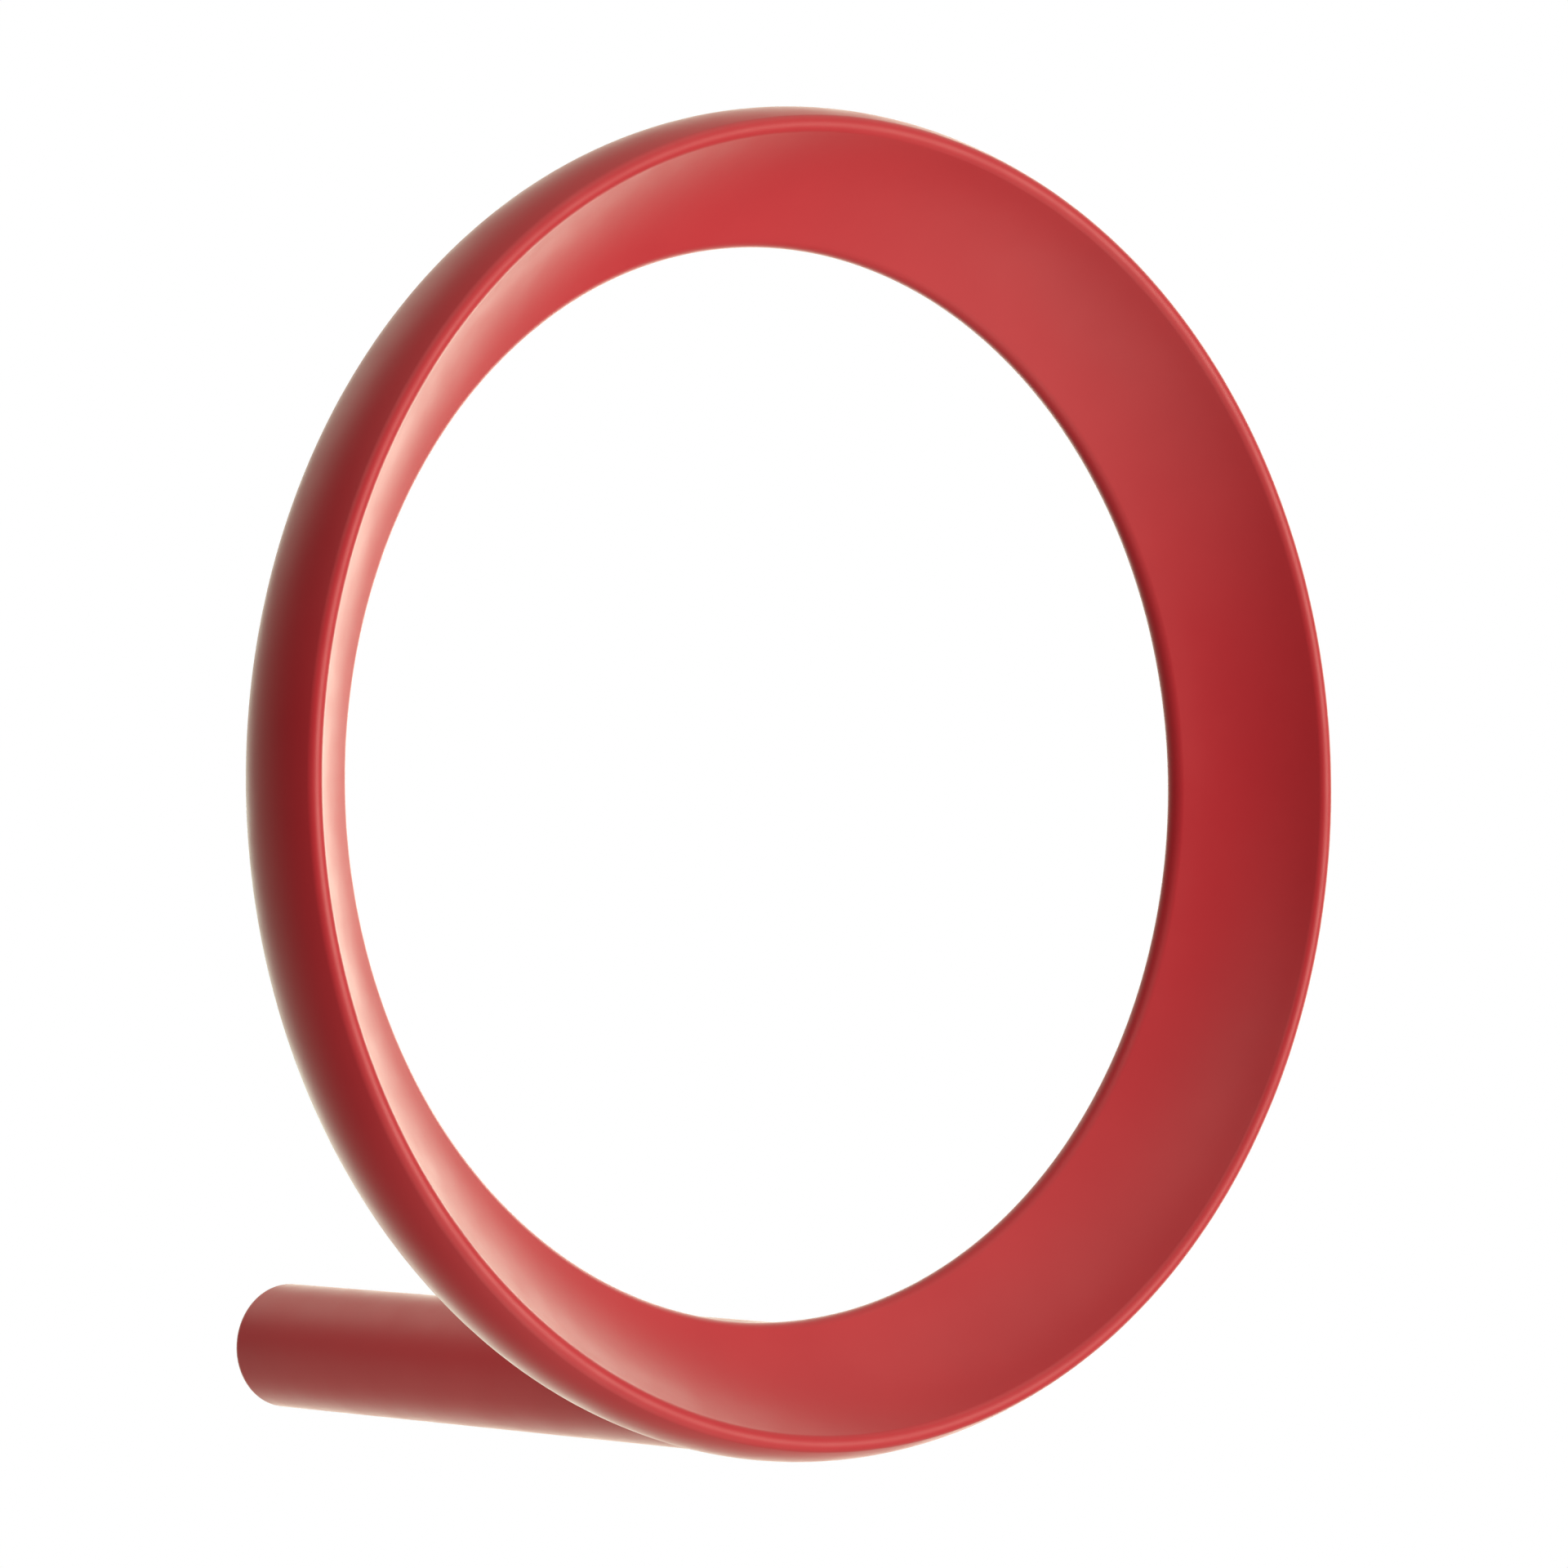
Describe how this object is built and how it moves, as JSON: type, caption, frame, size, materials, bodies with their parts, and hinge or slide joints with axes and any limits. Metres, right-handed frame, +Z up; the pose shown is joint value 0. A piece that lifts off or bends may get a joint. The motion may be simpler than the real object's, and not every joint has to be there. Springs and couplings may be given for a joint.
{
  "type": "ring wall hook",
  "caption": "Wall hook with a dished ring on a round post; the post slides onto a screwed wall spigot and is locked by a grub screw.",
  "frame": {"origin": "centre of the post's wall end, on the wall's surface", "axes": "+Y points into the wall along the post, -Y out to the ring, +Z up, +X to the right seen from the front"},
  "size_m": [0.1, 0.0715, 0.1],
  "materials": {
    "red_coat": "fine satin powder coat",
    "spigot_steel": "turned",
    "screw_steel": "dark zinc"
  },
  "bodies": {
    "spigot": {"wall_spigot": "spigot_steel"},
    "hook": {"hook_ring": "red_coat", "post": "red_coat"},
    "grub": {"grub_screw": "screw_steel"}
  },
  "joints": [
    {"name": "hook_slide", "type": "slide", "parent": "spigot", "child": "hook", "axis": [0, -1, 0], "range_m": [0, 0.016]},
    {"name": "grub_travel", "type": "slide", "parent": "hook", "child": "grub", "axis": [0.5, 0, -0.866], "range_m": [0, 0.001]}
  ]
}
